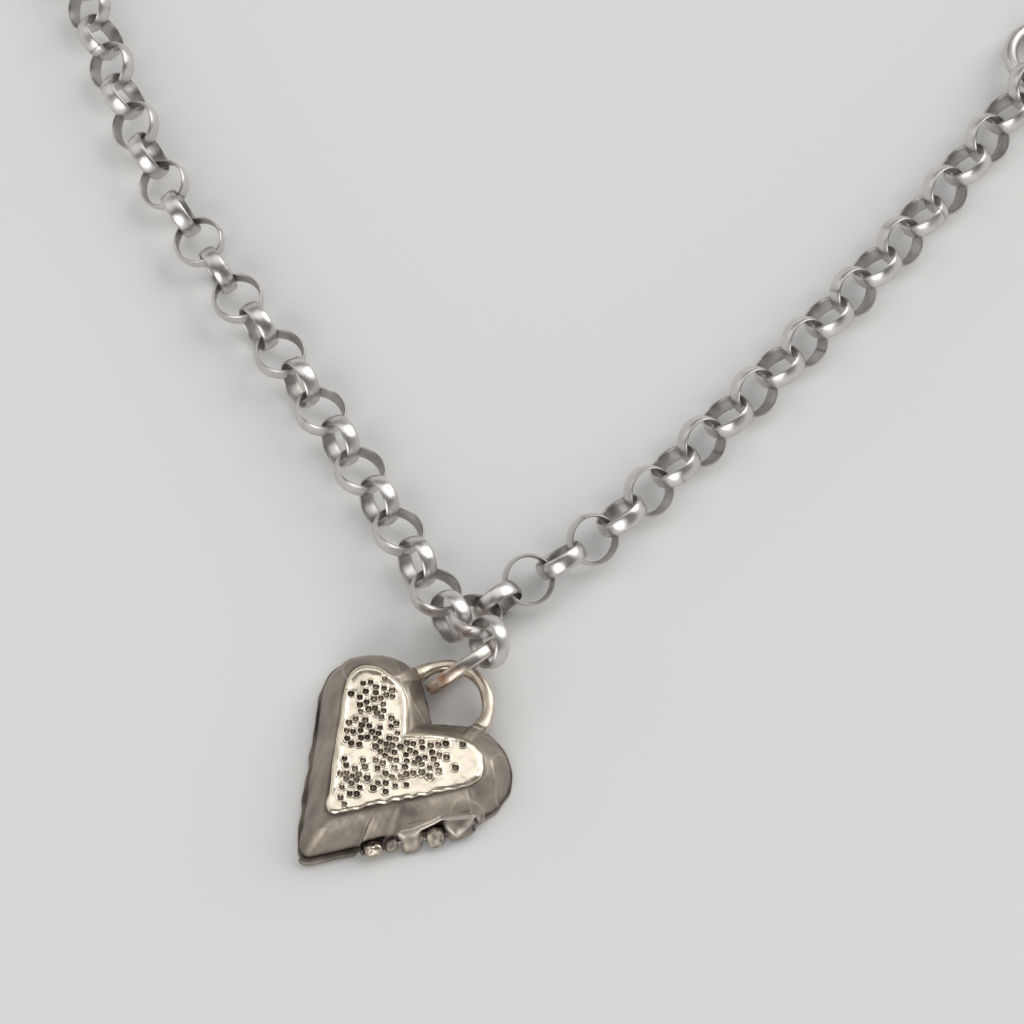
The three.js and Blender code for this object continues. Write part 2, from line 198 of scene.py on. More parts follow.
def makeFinish(name, look):
    # colour: bright to dark by the grime-and-shade mark (real grime plus painted shade) times cloud, plus
    # cloud; roughness: patches plus a share of that mark
    material = bpy.data.materials.new(name)
    material.use_nodes = True
    nodes, wires = material.node_tree.nodes, material.node_tree.links
    shader = nodes["Principled BSDF"]
    setInputs(shader, {"Metallic": 1.0})
    place = nodes.new("ShaderNodeTexCoord").outputs["Object"]

    def noise(scale, detail, stretched):
        # noise on the piece's own place, turned and stretched
        turn = nodes.new("ShaderNodeMapping")
        setInputs(turn, {"Rotation": sharedSettings["noiseTurn"], "Scale": stretched})
        grain = nodes.new("ShaderNodeTexNoise")
        setInputs(grain, {"Scale": scale, "Detail": detail})
        wires.new(place, turn.inputs["Vector"])
        wires.new(turn.outputs["Vector"], grain.inputs["Vector"])
        return grain.outputs["Fac"]

    def ranged(value, low, high):
        # the middle of the noise spread from low to high
        spread = nodes.new("ShaderNodeMapRange")
        fromLow, fromHigh = sharedSettings["noiseRange"]
        setInputs(spread, {"From Min": fromLow, "From Max": fromHigh, "To Min": low, "To Max": high})
        wires.new(value, spread.inputs["Value"])
        return spread.outputs["Result"]

    def combine(how, a, b, c=None):
        # one sum of two or three values, each a number or a wire
        sums = nodes.new("ShaderNodeMath")
        sums.operation = how
        for socket, value in zip(sums.inputs, (a, b, c)):
            if isinstance(value, (int, float)):
                socket.default_value = value
            elif value is not None:
                wires.new(value, socket)
        return sums.outputs[0]

    def blendColour(share, low, high):
        # low where the share is 0, high where it is 1
        mix = nodes.new("ShaderNodeMix")
        mix.data_type = "RGBA"
        mix.clamp_factor = True
        wires.new(share, mix.inputs["Factor"])
        for socket, value in ((mix.inputs[6], low), (mix.inputs[7], high)):  # the node's two colours
            if isinstance(value, tuple):
                socket.default_value = (*value, 1)
            else:
                wires.new(value, socket)
        return mix.outputs[2]

    def mark(attribute):
        # a number kept at each point of the mesh
        layer = nodes.new("ShaderNodeAttribute")
        layer.attribute_name = attribute
        return layer.outputs["Fac"]

    cloud = noise(look["cloudScale"], 4, sharedSettings["even"])
    grimeAndShadeSway = ranged(cloud, *sharedSettings["grimeAndShadeSway"])
    # the dark share: painted shade and real grime from the mark, swayed by the cloud
    shadeAndDirt = combine("MULTIPLY_ADD", mark("grimeAndShade"), grimeAndShadeSway, ranged(cloud, 0, look["cloud"]))
    colour = blendColour(shadeAndDirt, look["bright"], look["dark"])
    if "tint" in look:
        tinted = combine("MULTIPLY", mark("tint"), ranged(cloud, *sharedSettings["tintSway"]))
        colour = blendColour(tinted, colour, look["tint"])
    wires.new(colour, shader.inputs["Base Color"])
    patches = ranged(noise(look["cloudScale"] * sharedSettings["patchScale"], 3, sharedSettings["even"]), *look["rough"])
    rough = combine("MULTIPLY_ADD", mark("grimeAndShade"), sharedSettings["grimeAndShadeRough"], patches)
    wires.new(rough, shader.inputs["Roughness"])
    grainBump, brushBump = nodes.new("ShaderNodeBump"), nodes.new("ShaderNodeBump")
    setInputs(grainBump, {"Distance": look["grain"]})
    setInputs(brushBump, {"Distance": look["brush"]})
    wires.new(noise(look["grainScale"], 3, sharedSettings["even"]), grainBump.inputs["Height"])
    wires.new(noise(look["grainScale"], 2, sharedSettings["brushed"]), brushBump.inputs["Height"])
    wires.new(grainBump.outputs["Normal"], brushBump.inputs["Normal"])
    wires.new(brushBump.outputs["Normal"], shader.inputs["Normal"])
    return material


silver = {name: makeFinish(name, look) for name, look in finishes.items()}
print("finishes:", ", ".join(silver))


def nodePoints(node):
    # corners of a CAD solid, in millimetres
    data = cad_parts[node].data
    points = np.empty(len(data.vertices) * 3)
    data.vertices.foreach_get("co", points)
    return points.reshape(-1, 3) / mm


skewWay = (0.31, 0.17, 0.94)  # no ring's axis points this way


def ringFrame(node):
    # a CAD ring's middle, its axis, which is the direction in which it is thinnest, and two directions across
    points = nodePoints(node)
    centre = (points.min(0) + points.max(0)) / 2
    axis = np.linalg.svd(points - centre, full_matrices=False)[2][2]
    side = unit(np.cross(axis, skewWay))
    return centre, axis, side, np.cross(axis, side)


def ringTurns(around, across):
    # a grid of angles round the ring, with the cosine and the sine of the angles round its section
    turn, section = np.meshgrid(roundTurn(around), roundTurn(across), indexing="ij")
    return turn, np.cos(section), np.sin(section)


def ringPoints(place, turn, radial, along):
    # middle + radius round the axis + width along it
    centre, axis, side, other = place
    out = np.cos(turn)[..., None] * side + np.sin(turn)[..., None] * other
    return centre + radial[..., None] * out + along[..., None] * axis


# Chain links: D-section bands, domed outside and nearly flat in the bore, each with a soldered seam
link = {"radius": 2.72, "wall": 0.42, "width": 1.70, "domeShare": 0.62, "edgePower": 0.95, "around": 80,
        "across": 24, "dent": 0.012, "dentWave": 2.1, "dentReach": 0.3, "seamWidth": 0.07, "seamDepth": 0.03,
        "solderWidth": 0.28, "solderHeight": 0.012, "grimeAndShade": 0.03, "boreShade": 0.5, "seamGrime": 0.45,
        "solderGrime": 0.14, "edgeShade": 0.34, "firstSeed": 100}


def linkRing(node, seed):
    # a lens carried round the ring: the wall by the cosine, more of it outside, and the width by the sine
    place = ringFrame(node)
    turn, out, edge = ringTurns(link["around"], link["across"])
    dome = link["domeShare"] * link["wall"]
    radial = link["radius"] - dome + out * np.where(out > 0, dome, link["wall"] - dome)
    along = link["width"] / 2 * boxy(edge, link["edgePower"])
    dents = link["dent"] * ripple(ringPoints(place, turn, radial, along), link["dentWave"], seed)
    fromSeam = turnFrom(turn, np.random.default_rng(seed).uniform(0, tau)) * link["radius"]
    seam = bell(fromSeam, 0, link["seamWidth"])
    solder = bell(fromSeam, 0, link["solderWidth"])
    radial = radial + dents * np.clip(out + link["dentReach"], 0, 1)
    radial = radial + (link["solderHeight"] * solder - link["seamDepth"] * seam) * out
    # the bore and the edges of the band are darkened as painted shade; the seam and the solder are real dark
    # marks
    grimeAndShade = link["grimeAndShade"] + link["boreShade"] * np.clip(-out, 0, 1) ** 0.8 + link["seamGrime"] * seam
    grimeAndShade = grimeAndShade + link["solderGrime"] * solder + link["edgeShade"] * np.abs(edge) ** 7
    addPiece(node.replace("_", "-"), ringPoints(place, turn, radial, along), "brightLink", node,
             [node], closed=True, grimeAndShade=grimeAndShade)


linkNodes = [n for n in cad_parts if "_link" in n or n == "center_ring"]
for count, node in enumerate(sorted(linkNodes)):
    linkRing(node, link["firstSeed"] + count)
print("chain:", len(linkNodes), "links")


# Jump ring: a flat band with softened edges, with a coppery painted shade on the side of the heart
jump = {"radius": 4.44, "wall": 0.66, "width": 1.4, "boxPower": 0.42, "crown": 0.2, "around": 128,
        "across": 32, "dent": 0.03, "edgeWave": 2.6, "faceWave": 3.3, "seamAt": 2.2, "seamWidth": 0.09,
        "seamDepth": 0.04, "copperShadeFrom": 12.0, "copperShadeFull": 9.2, "copperShade": 0.6, "copperShadePatch": 0.5, "copperShadeWave": 1.6,
        "grimeAndShade": 0.06, "boreShade": 0.30, "seamGrime": 0.8}


def jumpRing():
    # a rounded box carried round the ring, its outside lowered by the fourth power of the width
    place = ringFrame("jump_ring")
    turn, out, edge = ringTurns(jump["around"], jump["across"])
    radial = jump["radius"] - jump["wall"] / 2 * (1 - boxy(out, jump["boxPower"]))
    along = jump["width"] / 2 * boxy(edge, jump["boxPower"])
    radial = radial - jump["crown"] * (2 * along / jump["width"]) ** 4 * (out > 0)
    plain = ringPoints(place, turn, radial, along)
    seam = bell(turnFrom(turn, jump["seamAt"]) * jump["radius"], 0, jump["seamWidth"])
    along = along + jump["dent"] * ripple(plain, jump["edgeWave"], 31) * np.abs(edge)
    radial = radial + jump["dent"] * ripple(plain, jump["faceWave"], 32) * np.clip(out, 0, 1)
    radial = radial - jump["seamDepth"] * seam * out
    points = ringPoints(place, turn, radial, along)
    # coppery painted shade in patches towards the heart, where the ring passes the loop; the bore is darkened
    # as painted shade, the seam is a real dark mark
    patches = jump["copperShade"] + jump["copperShadePatch"] * ripple(points, jump["copperShadeWave"], 33)
    copperShade = ramp(points[..., 1], jump["copperShadeFrom"], jump["copperShadeFull"]) * patches
    grimeAndShade = jump["grimeAndShade"] + jump["boreShade"] * np.clip(-out, 0, 1) + jump["seamGrime"] * seam
    addPiece("jump-ring", points, "jumpBand", "jump_ring", ["jump_ring"], closed=True,
             grimeAndShade=grimeAndShade, tint=np.clip(copperShade, 0, 1))


jumpRing()
print("jump ring")


# Heart outline, the same family of lines as the solids: tip arc, straight flank, lobe arc, notch line
heart = {"lobeRadius": 5.2, "lobeSpread": 5.8, "lobeCentre": 4.2, "notchRise": 2.2, "notchSlope": 1.44,
         "tipDrop": 15.7, "tipRadius": 1.0, "shoulder": 0.2, "shoulderInset": 2.5, "wide": 0.75,
         "wideAt": (-2.7, 5.3), "wideReach": 2.3, "tipPoints": 8, "flankPoints": 118, "lobePoints": 112,
         "notchPoints": 40, "flankEnd": 30}
tipCentre = heart["lobeCentre"] - heart["tipDrop"]
tipToLobe = math.hypot(heart["lobeSpread"], heart["tipDrop"])
flankAngle = (math.asin((heart["lobeRadius"] - heart["tipRadius"]) / tipToLobe)
              + math.atan2(heart["lobeSpread"], heart["tipDrop"]))
flankAlong = np.array([math.sin(flankAngle), math.cos(flankAngle), 0])
flankOut = np.array([math.cos(flankAngle), -math.sin(flankAngle), 0])


def heartLine(inset):
    # one outline for each inset, right half from tip to notch and then its mirror image back
    inset = np.asarray(inset, float).reshape(-1, 1)
    spread, lobeY, tipRadius = heart["lobeSpread"], heart["lobeCentre"], heart["tipRadius"]
    radius = heart["lobeRadius"] - inset
    tipY = tipCentre + inset / math.sin(flankAngle)
    notchY = lobeY + heart["notchRise"] - heart["notchSlope"] * inset
    drop = notchY - lobeY
    arcEnd = math.pi - np.arctan2(drop, spread) - np.arccos(radius / np.hypot(spread, drop))
    tip = np.linspace(-math.pi / 2, -flankAngle, heart["tipPoints"])[None] + 0 * inset
    sweep = -flankAngle + (arcEnd + flankAngle) * np.linspace(0, 1, heart["lobePoints"])[None]
    tipLine = np.stack([tipRadius * np.cos(tip), tipY + tipRadius * np.sin(tip)], -1)
    lobeLine = np.stack([spread + radius * np.cos(sweep), lobeY + radius * np.sin(sweep)], -1)
    notch = np.stack([0 * notchY, notchY], -1)
    flankShare = np.linspace(0, 1, heart["flankPoints"] + 2)[None, 1:-1, None]
    notchShare = np.linspace(0, 1, heart["notchPoints"] + 1)[None, 1:, None]
    flankLine = tipLine[:, -1:] * (1 - flankShare) + lobeLine[:, :1] * flankShare
    notchLine = lobeLine[:, -1:] * (1 - notchShare) + notch * notchShare
    half = np.concatenate([tipLine, flankLine, lobeLine, notchLine], 1)
    line = np.concatenate([half, half[:, -2:0:-1] * (-1, 1)], 1)
    # the lobes' tops flatten towards the face
    flatter = 1 - heart["shoulder"] * np.clip(inset / heart["shoulderInset"], 0, 1)
    above = line[..., 1] - lobeY
    line[..., 1] = lobeY + np.where(above > 0, above * flatter, above)
    return line


def heartGrid(insets, heights, shares=None):
    # a row of points for each inset: its outline, shrunk to its share, at its height
    line = heartLine(insets)
    if shares is not None:
        line = line * np.asarray(shares)[:, None, None]
    z = np.broadcast_to(np.asarray(heights, float)[:, None], line.shape[:2])
    return np.concatenate([line, z[..., None]], -1)


def outlineNormals(line):
    # pointing out of the outline, in the plane
    step = np.roll(line, -1, 0) - np.roll(line, 1, 0)
    normal = np.stack([step[:, 1], -step[:, 0]], -1)
    return normal / np.linalg.norm(normal, axis=-1, keepdims=True)


def onFloor(line):
    # an outline's points at height 0
    return np.pad(line, ((0, 0), (0, 1)))


def alongFlank(points):
    # distance from the tip along the right flank
    return points[..., 0] * flankAlong[0] + (points[..., 1] - tipCentre) * flankAlong[1]


def awayFrom(points, spot):
    # distance from a spot, seen from above
    return np.hypot(points[..., 0] - spot[0], points[..., 1] - spot[1])


def lobeWiden(line):
    # the left lobe is broader on its notch side: a bell round one spot there
    return heart["wide"] * bell(awayFrom(line, heart["wideAt"]), 0, heart["wideReach"])


rimLine = heartLine([0])[0]
rimAlong = alongFlank(rimLine)
onFlank = np.arange(len(rimLine)) < heart["tipPoints"] + heart["flankPoints"] + heart["flankEnd"]

# Hinge on the right flank: five knuckles, the outer and middle ones on the back
hinge = {"start": 5.1, "length": 11.25, "knuckles": 5, "offset": 0.5, "height": 1.0, "rows": 40, "around": 48,
         "waist": 0.10, "tongueTurn": -0.45, "tongueWidth": 0.62, "tabWidth": 0.3, "flatSlope": 0.12,
         "flatProud": 0.03, "rimWidth": 0.05, "coarse": 0.8, "coarseWave": 1.25, "fine": 0.5, "fineWave": 0.7,
         "facetMiddle": 0.45, "grimeAndShade": 0.16, "dipGrime": 0.5, "dipBelow": 0.25, "endGrime": 0.45,
         "rimTint": 0.7, "crestTint": 0.5, "crestAbove": 0.3}
hingeFoot = np.array([0, tipCentre, hinge["height"]]) + flankOut * (heart["tipRadius"] + hinge["offset"])
knuckleStep = hinge["length"] / hinge["knuckles"]
knuckleMiddles = hinge["start"] + knuckleStep * (np.arange(hinge["knuckles"]) + 0.5)


def hingeLathe(along, radius, turn):
    # radius round the hinge axis at each distance along it
    ring = np.cos(turn)[..., None] * flankOut + np.sin(turn)[..., None] * upward
    return hingeFoot + along[..., None] * flankAlong + radius[..., None] * ring


# half is half the length, ends the roundness of the ends, flat the distance and direction of the flat, here
# too far out to cut; the back's knuckles under the petals are thin and reach in to the plate by a tab
plainKnuckle = {"flat": 2.0, "flatTurn": 60, "tongue": 0.0, "tab": 0.0, "finish": "satinHeart"}
knuckleLooks = (
    {"size": 0.84, "half": 1.05, "shift": 0.0, "ends": 3, "lump": 0.17, "finish": "wireLoop"},
    {"size": 0.74, "half": 0.7, "shift": -0.45, "ends": 4, "lump": 0.12},
    {"size": 0.38, "half": 0.8, "shift": -0.1, "ends": 5, "lump": 0.05, "tab": 1.0},
    {"size": 0.92, "half": 1.0, "shift": -0.5, "ends": 3, "lump": 0.16, "flat": 0.62, "flatTurn": 48,
     "tongue": 0.32},
    {"size": 0.38, "half": 0.9, "shift": 0.0, "ends": 5, "lump": 0.05, "tab": 1.0},
)


def knuckle(index):
    # a cast lump round the hinge axis: a barrel with rounded ends, a tongue low on its outside, a tab towards
    # the plate and a flat on top
    look = {**plainKnuckle, **knuckleLooks[index]}
    share = np.linspace(-1, 1, hinge["rows"])[:, None]
    turn = roundTurn(hinge["around"])[None, :] + 0 * share
    tongue = look["tongue"] * bell(turnFrom(turn, hinge["tongueTurn"]), 0, hinge["tongueWidth"])
    tab = look["tab"] * bell(turnFrom(turn, math.pi), 0, hinge["tabWidth"])
    barrel = look["size"] * (1 - hinge["waist"] * share ** 2)
    radius = (barrel + tongue + tab) * np.sqrt(1 - np.abs(share) ** look["ends"])
    # the flat slopes a little along the lump
    facing = np.cos(turn - math.radians(look["flatTurn"]))
    cut = (look["flat"] + hinge["flatSlope"] * share) / np.maximum(facing, 0.05)
    rim = bell(radius - cut, 0, hinge["rimWidth"]) * (facing > 0.1)
    radius = np.minimum(radius, cut + hinge["flatProud"])
    along = knuckleMiddles[index] + look["shift"] + look["half"] * share + 0 * turn
    points = hingeLathe(along, radius, turn)
    facets = hinge["coarse"] * np.abs(ripple(points, hinge["coarseWave"], 50 + index))
    facets = facets - hinge["fine"] * np.abs(ripple(points, hinge["fineWave"], 60 + index))
    points = hingeLathe(along, radius * (1 + look["lump"] * (facets - hinge["facetMiddle"])), turn)
    grimeAndShade = hinge["grimeAndShade"] + hinge["dipGrime"] * np.clip(hinge["dipBelow"] - facets, 0, 1)
    grimeAndShade = grimeAndShade + hinge["endGrime"] * np.abs(share) ** 6
    tint = hinge["rimTint"] * rim + hinge["crestTint"] * np.clip(facets - hinge["crestAbove"], 0, 1)
    body = "front_cover" if index % 2 else "locket_back"
    addPiece(f"knuckle-{index + 1}", points, look["finish"], body, grimeAndShade=grimeAndShade,
             tint=tint)


for index in range(hinge["knuckles"]):
    knuckle(index)

# head: distance beyond the hinge's end and radius, from the dome to the shank
pin = {"head": ((0.24, 0), (0.22, 0.2), (0.13, 0.38), (0.02, 0.44), (0, 0.3)), "around": 32, "grimeAndShade": 0.75}


def hingePin():
    # two domed heads joined by a thin shank, turned round the hinge axis
    half = hinge["length"] / 2
    head = np.array(pin["head"])
    profile = np.concatenate([head * (-1, 1) - (half, 0), head[::-1] + (half, 0)])
    turn = roundTurn(pin["around"])[None, :]
    along = hinge["start"] + half + profile[:, :1] + 0 * turn
    points = hingeLathe(along, profile[:, 1:] + 0 * turn, turn + 0 * along)
    addPiece("hinge-pin", points, "brightLink", "locket_back", ["hinge_pin"],
             grimeAndShade=pin["grimeAndShade"])


hingePin()
print("hinge")


# Front cover: a steep cast shell, arched over the back's first knuckle and slotted over the loop's feet, with
# a raised vein above the rest of the hinge and petals that flare from it over the knuckles; pairs called from
# and to are where a feature starts and ends along the flank
cover = {"base": 1.08, "top": 4.85, "wall": 0.7, "roof": 0.75, "inset": 2.5, "innerStep": 0.3, "slope": 0.42,
         "rimInsets": (0.6, 0.12), "roofRows": 10, "innerRows": 18, "outerRows": 64, "topRows": 9,
         "dent": 0.12, "dentWave": 7.0, "ripple": 0.04, "rippleWave": 2.1, "hammer": 0.012, "hammerWave": 0.8,
         "crease": 0.09, "creaseWave": 5.6, "creaseWidth": 0.1, "lowCrease": 0.25,
         "archHalf": 1.42, "archHeight": 1.5, "archShift": 0.1, "shelf": 0.85, "shelfFrom": (6.0, 6.6),
         "shelfTo": (8.9, 8.2), "tipGap": 0.22, "tipGapTo": (5.2, 4.0), "slotHalf": 0.84, "slotHeight": 1.62,
         "slotAbove": 7.6, "loopRadius": 4.3, "knuckleClear": 1.2, "petalDrop": 0.6, "dropFrom": (8.3, 9.0),
         "dropTo": (17.5, 16.9), "hiddenTop": 1.4, "rimMix": 0.85}
vein = {"height": 0.36, "width": 0.17, "peak": 13.15, "top": 2.6, "climb": 0.36, "fall": 0.22, "lowest": 1.55,
        "waver": 0.1, "wave": 3.0, "from": (8.4, 9.0), "to": (17.6, 16.8), "smooth": 0.6, "recess": 0.22,
        "recessFrom": 0.04, "recessFull": 0.3}
# middle along the flank, half length, flare, lowest height, lean
petals = ((9.95, 1.2, 1.5, 0.35, 0.05), (15.05, 1.65, 1.3, 0.55, 0.18), (17.3, 0.5, 0.5, 0.8, 0.0))
fold = {"height": 0.2, "middle": 15.05, "ends": (1.7, 1.4), "point": 14.6, "low": 0.72, "slant": 0.3,
        "width": 0.13}
# colour marks of the cover: the shoulder is a painted shadow line and the notch light a painted reflection
patinaAndPaintedLight = {"grimeAndShade": 0.12, "rim": 0.6, "rimWidth": 0.10, "recess": 0.6, "shoulder": 0.4,
          "shoulderWidth": 0.02, "inside": 0.3, "patch": 0.2, "patchWave": 3.1, "veinClean": 0.5,
          "creaseClean": 0.25, "veinTint": 0.75, "creaseTint": 0.2, "notchPaintedLight": 0.85,
          "notchAt": (-2.1, 6.5), "notchReach": 1.6, "petalTint": 0.5, "foldTint": 0.6}
# row numbers of the rim's two edges and of the outer wall's first row
innerRim = cover["roofRows"] + cover["innerRows"]
outerRim = innerRim + 1
firstOuter = innerRim + 2


def coverShell():
    # rows of outlines from the roof's middle down inside, round the rim and up outside to the top's middle;
    # each wall is drawn in by a slant and a quarter ellipse, mixed
    base, top, inset = cover["base"], cover["top"], cover["inset"]
    roofRows, topRows = cover["roofRows"], cover["topRows"]
    ceiling = top - cover["roof"]
    inner = np.linspace(math.pi / 2, 0.03, cover["innerRows"])
    outer = np.linspace(0.02, math.pi / 2, cover["outerRows"])

    def drawnIn(t):
        # slant by the sine, ellipse by 1 less the cosine
        return cover["slope"] * np.sin(t) + (1 - cover["slope"]) * (1 - np.cos(t))

    innerInset = cover["wall"] + (inset - cover["innerStep"]) * drawnIn(inner) * ramp(inner, 0.1, 0.5)
    insets = np.concatenate([np.full(roofRows, innerInset[0]), innerInset, cover["rimInsets"],
                             inset * drawnIn(outer), np.full(topRows, inset)])
    heights = np.concatenate([np.full(roofRows, ceiling), base + (ceiling - base) * np.sin(inner),
                              (base, base), base + (top - base) * np.sin(outer), np.full(topRows, top)])
    shares = np.concatenate([np.linspace(0, 0.93, roofRows), np.ones(len(inner) + 2 + len(outer)),
                             np.linspace(0.9, 0, topRows)])
    wallShare = np.concatenate([np.ones(roofRows), np.sin(inner), (0, 0), np.sin(outer),
                                np.ones(topRows)])[:, None]
    row = np.arange(len(shares))[:, None]
    outside = 1.0 * ((row >= outerRim) & (row < firstOuter + len(outer)))
    points = heartGrid(insets, heights, shares)
    widen = lobeWiden(points) * (row >= innerRim) * wallShare ** 2 * shares[:, None] ** 8
    points[..., :2] += outlineNormals(rimLine) * widen[..., None]
    return points, wallShare, outside


def rimLift():
    # how far the rim rises: an arch over the first knuckle that runs out in a lower shelf, a gap at the tip,
    # and slots over the loop's feet
    fromKnuckle = rimAlong - knuckleMiddles[0] - cover["archShift"]
    arch = cover["archHeight"] * squareArch(fromKnuckle / cover["archHalf"])
    shelf = cover["shelf"] * stretch(rimAlong, cover["shelfFrom"], cover["shelfTo"])
    tipGap = cover["tipGap"] * ramp(rimAlong, *cover["tipGapTo"])
    feet = squareArch((np.abs(rimLine[:, 0]) - cover["loopRadius"]) / cover["slotHalf"])
    slots = cover["slotHeight"] * feet * (rimLine[:, 1] > cover["slotAbove"])
    return onFlank * np.maximum(np.maximum(arch, shelf), tipGap) + slots


def addPetals(veinHeight, z):
    # down is 0 at the vein and 1 at the rim; a petal follows a quarter ellipse, outwards and then down
    down = np.clip((veinHeight - z) / np.maximum(veinHeight - z[firstOuter], 0.2), 0, 1)
    flareOut, fall, edge, most = np.zeros((4, *z.shape))
    for middle, length, flare, low, lean in petals:
        petal = onFlank * squareArch((rimAlong - middle) / length) + 0 * z
        flareOut = np.maximum(flareOut, flare * petal * np.sin(down * math.pi / 2))
        depth = (veinHeight - low - lean * (rimAlong - middle)) * (1 - np.cos(down * math.pi / 2))
        fall = np.where(petal > most, petal * (z - veinHeight + depth) * (down > 0), fall)
        edge = np.maximum(edge, bell(petal, 0.55, 0.3) * ramp(down, 0.1, 0.5))
        most = np.maximum(most, petal)
    shift = flankOut * flareOut[..., None] - upward * fall[..., None]
    # the long petal is folded along a V
    crook = bell(down, fold["low"] - fold["slant"] * np.abs(rimAlong - fold["point"]), fold["width"])
    crook = crook * ramp(np.abs(rimAlong - fold["middle"]), *fold["ends"]) * onFlank
    return shift, edge, most, crook


def frontCover():
    # the shell, with its rim lifted or dropped, swollen along its normals and bent out into petals
    points, wallShare, outside = coverShell()
    hidden = (np.abs(rimAlong - middle) for middle in knuckleMiddles[[2, 4]])
    over = sum(onFlank * ramp(away, knuckleStep / 2 + 0.3, knuckleStep / 2 - 0.05) for away in hidden)
    lower = onFlank * stretch(rimAlong, cover["dropFrom"], cover["dropTo"])
    lift = rimLift() + np.where(outside > 0, -cover["petalDrop"] * lower, cover["knuckleClear"] * over)
    points[..., 2] += lift * (1 - wallShare)
    normal = gridNormals(points)
    z = points[..., 2]
    swell = cover["dent"] * ripple(points, cover["dentWave"], 5)
    swell = swell + cover["ripple"] * ripple(points, cover["rippleWave"], 6)
    swell = swell + cover["hammer"] * ripple(points, cover["hammerWave"], 13)
    # cast creases, most on the lobes: thin ridges where a slow wave crosses zero
    crease = np.clip(1 - np.abs(ripple(points, cover["creaseWave"], 9)) / cover["creaseWidth"], 0, 1)
    crease = crease * (cover["lowCrease"] + (1 - cover["lowCrease"]) * ramp(points[..., 1], 0, 4))
    swell = swell + cover["crease"] * crease
    # a raised vein climbs from the arch to a peak above the hinge and falls again, with a recess below it
    fromPeak = rimAlong - vein["peak"]
    veinHeight = vein["top"] - np.where(fromPeak < 0, -vein["climb"], vein["fall"]) * fromPeak
    veinHeight = np.maximum(veinHeight, vein["lowest"]) + vein["waver"] * ripple(points, vein["wave"], 14)
    zone = onFlank * stretch(rimAlong, vein["from"], vein["to"])
    veinLine = zone * bell(z, veinHeight, vein["width"])
    below = zone * ramp(veinHeight - z, vein["recessFrom"], vein["recessFull"])
    shift, petalEdge, most, crook = addPetals(veinHeight, z)
    recess = below * (1 - most)
    swell = swell * (1 - vein["smooth"] * below) + vein["height"] * veinLine - vein["recess"] * recess
    swell = (swell + fold["height"] * crook) * outside * (1 - wallShare ** 8)
    points = points + normal * swell[..., None] + shift * outside[..., None]
    # under the petals the rim's inner edge stays low, and its outer edge lies between the rows beside it
    points[innerRim, :, 2] -= np.maximum(points[innerRim, :, 2] - cover["hiddenTop"], 0) * lower
    between = points[firstOuter] * cover["rimMix"] + points[innerRim] * (1 - cover["rimMix"])
    points[outerRim] += (between - points[outerRim]) * lower[:, None]
    grimeAndShade = patinaAndPaintedLight["rim"] * bell(wallShare, 0, patinaAndPaintedLight["rimWidth"]) * (1 - most)
    grimeAndShade = grimeAndShade + patinaAndPaintedLight["recess"] * recess
    # a painted shadow line along the top of the wall, under the edge of the raised face
    grimeAndShade = grimeAndShade + patinaAndPaintedLight["shoulder"] * bell(wallShare, 1, patinaAndPaintedLight["shoulderWidth"])
    grimeAndShade = grimeAndShade + patinaAndPaintedLight["patch"] * hollows(points, patinaAndPaintedLight["patchWave"], 8)
    grimeAndShade = grimeAndShade - patinaAndPaintedLight["veinClean"] * veinLine - patinaAndPaintedLight["creaseClean"] * crease
    grimeAndShade = patinaAndPaintedLight["grimeAndShade"] + grimeAndShade * outside + patinaAndPaintedLight["inside"] * (1 - outside)
    # the vein, the creases, the petal edges and the folds are made lighter; the notch side of the left lobe
    # is painted light, a painted reflection on a wall that sits in the right lobe's shade
    fromNotch = awayFrom(points, patinaAndPaintedLight["notchAt"])
    tint = patinaAndPaintedLight["notchPaintedLight"] * bell(fromNotch, 0, patinaAndPaintedLight["notchReach"])
    tint = tint + patinaAndPaintedLight["veinTint"] * veinLine + patinaAndPaintedLight["creaseTint"] * crease
    tint = tint + patinaAndPaintedLight["petalTint"] * petalEdge * below + patinaAndPaintedLight["foldTint"] * crook
    addPiece("heart-cover", points, "satinHeart", "front_cover", ["front_cover"],
             grimeAndShade=np.clip(grimeAndShade, 0, 1), tint=tint * outside)


frontCover()
print("front cover")


# Raised face: polished, with a beaded edge and drifts of punched pits in a layout of its own
face = {"inset": 2.42, "low": 4.8, "edge": 5.14, "bottomRows": 5, "sideRows": 6, "rows": 150,
        "sideDrop": 0.05, "flankFrom": (0.5, 3.5), "waver": 0.10, "waverWave": 3.3, "scallop": 0.12,
        "scallopWave": 1.3, "scallopIn": 0.05, "crown": 0.2, "edgeDrop": 0.14, "edgeWidth": 0.12,
        "slant": 0.86, "bead": 0.15, "beadIn": 0.45, "beadWidth": 0.3, "beadWorn": 0.75, "dent": 0.06,
        "dentWave": 2.4, "dentFrom": (0, 0.5), "fineDent": 0.022, "fineWave": 0.9, "pad": 0.07,
        "padWave": 4.2, "padFrom": (4.6, 5.8), "padIn": (0.2, 0.8), "grimeAndShade": 0.03, "pitGrime": 0.92,
        "sideShadow": 0.5, "patchGrime": 0.12, "patchWave": 1.7}
pit = {"count": 118, "radius": 0.33, "depth": 0.24, "spacing": 0.58, "margin": 0.85, "tries": 6000,
       "rim": 0.06, "rimAt": 1.2, "rimWidth": 0.22, "wall": (1.05, 0.5), "dark": (1.02, 0.78),
       "sizes": (0.86, 1.12), "depths": (0.8, 1.1), "darks": (0.78, 1)}
# across, up, spread
pitDrifts = ((-4.9, 3.2, 0.9), (-3.5, -0.4, 0.8), (-0.3, 1.3, 0.95), (3.3, 2.6, 1.0), (-0.6, -4.3, 0.85),
             (1.9, -1.0, 0.9))


